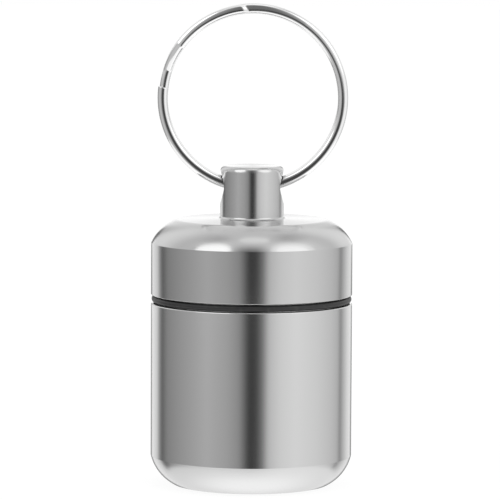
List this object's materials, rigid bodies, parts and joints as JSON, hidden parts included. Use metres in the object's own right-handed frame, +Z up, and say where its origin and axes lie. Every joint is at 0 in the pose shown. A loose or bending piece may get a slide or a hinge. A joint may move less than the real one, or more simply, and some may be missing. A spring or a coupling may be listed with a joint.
{
  "type": "earplug case",
  "caption": "Small round screw-top case for earplugs, turned from aluminium, with a rubber seal in the seam and a split ring through the boss on its lid.",
  "frame": {"origin": "centre of the flat base that the case stands on", "axes": "+Z up along the case's screw axis towards the split ring, -Y towards the pictured side, X along the boss's cross hole"},
  "size_m": [0.026, 0.026, 0.0622],
  "materials": {
    "body_aluminium": "satin turned",
    "lid_aluminium": "satin turned",
    "seal_rubber": "matt moulded nitrile",
    "ring_nickel": "bright nickel plate on spring steel"
  },
  "bodies": {
    "case_body": {"case_body": "body_aluminium"},
    "seal_ring": {"seal_ring": "seal_rubber"},
    "lid": {"lid": "lid_aluminium"},
    "split_ring": {"split_ring": "ring_nickel"}
  },
  "joints": [
    {"name": "lid_turn", "type": "hinge", "parent": "case_body", "child": "seal_ring", "pos_m": [0, 0, 0.02455], "axis": [0, 0, 1], "range_deg": [0, 1440]},
    {"name": "lid_lift", "type": "slide", "parent": "seal_ring", "child": "lid", "axis": [0, 0, 1], "range_m": [0, 0.006]},
    {"name": "ring_swing", "type": "hinge", "parent": "lid", "child": "split_ring", "pos_m": [0, 0, 0.03848], "axis": [1, 0, 0], "range_deg": [-125, 125]}
  ],
  "couplings": [
    {"joint": "lid_lift", "follows": "lid_turn", "m_per_rad": 0.00023873}
  ]
}
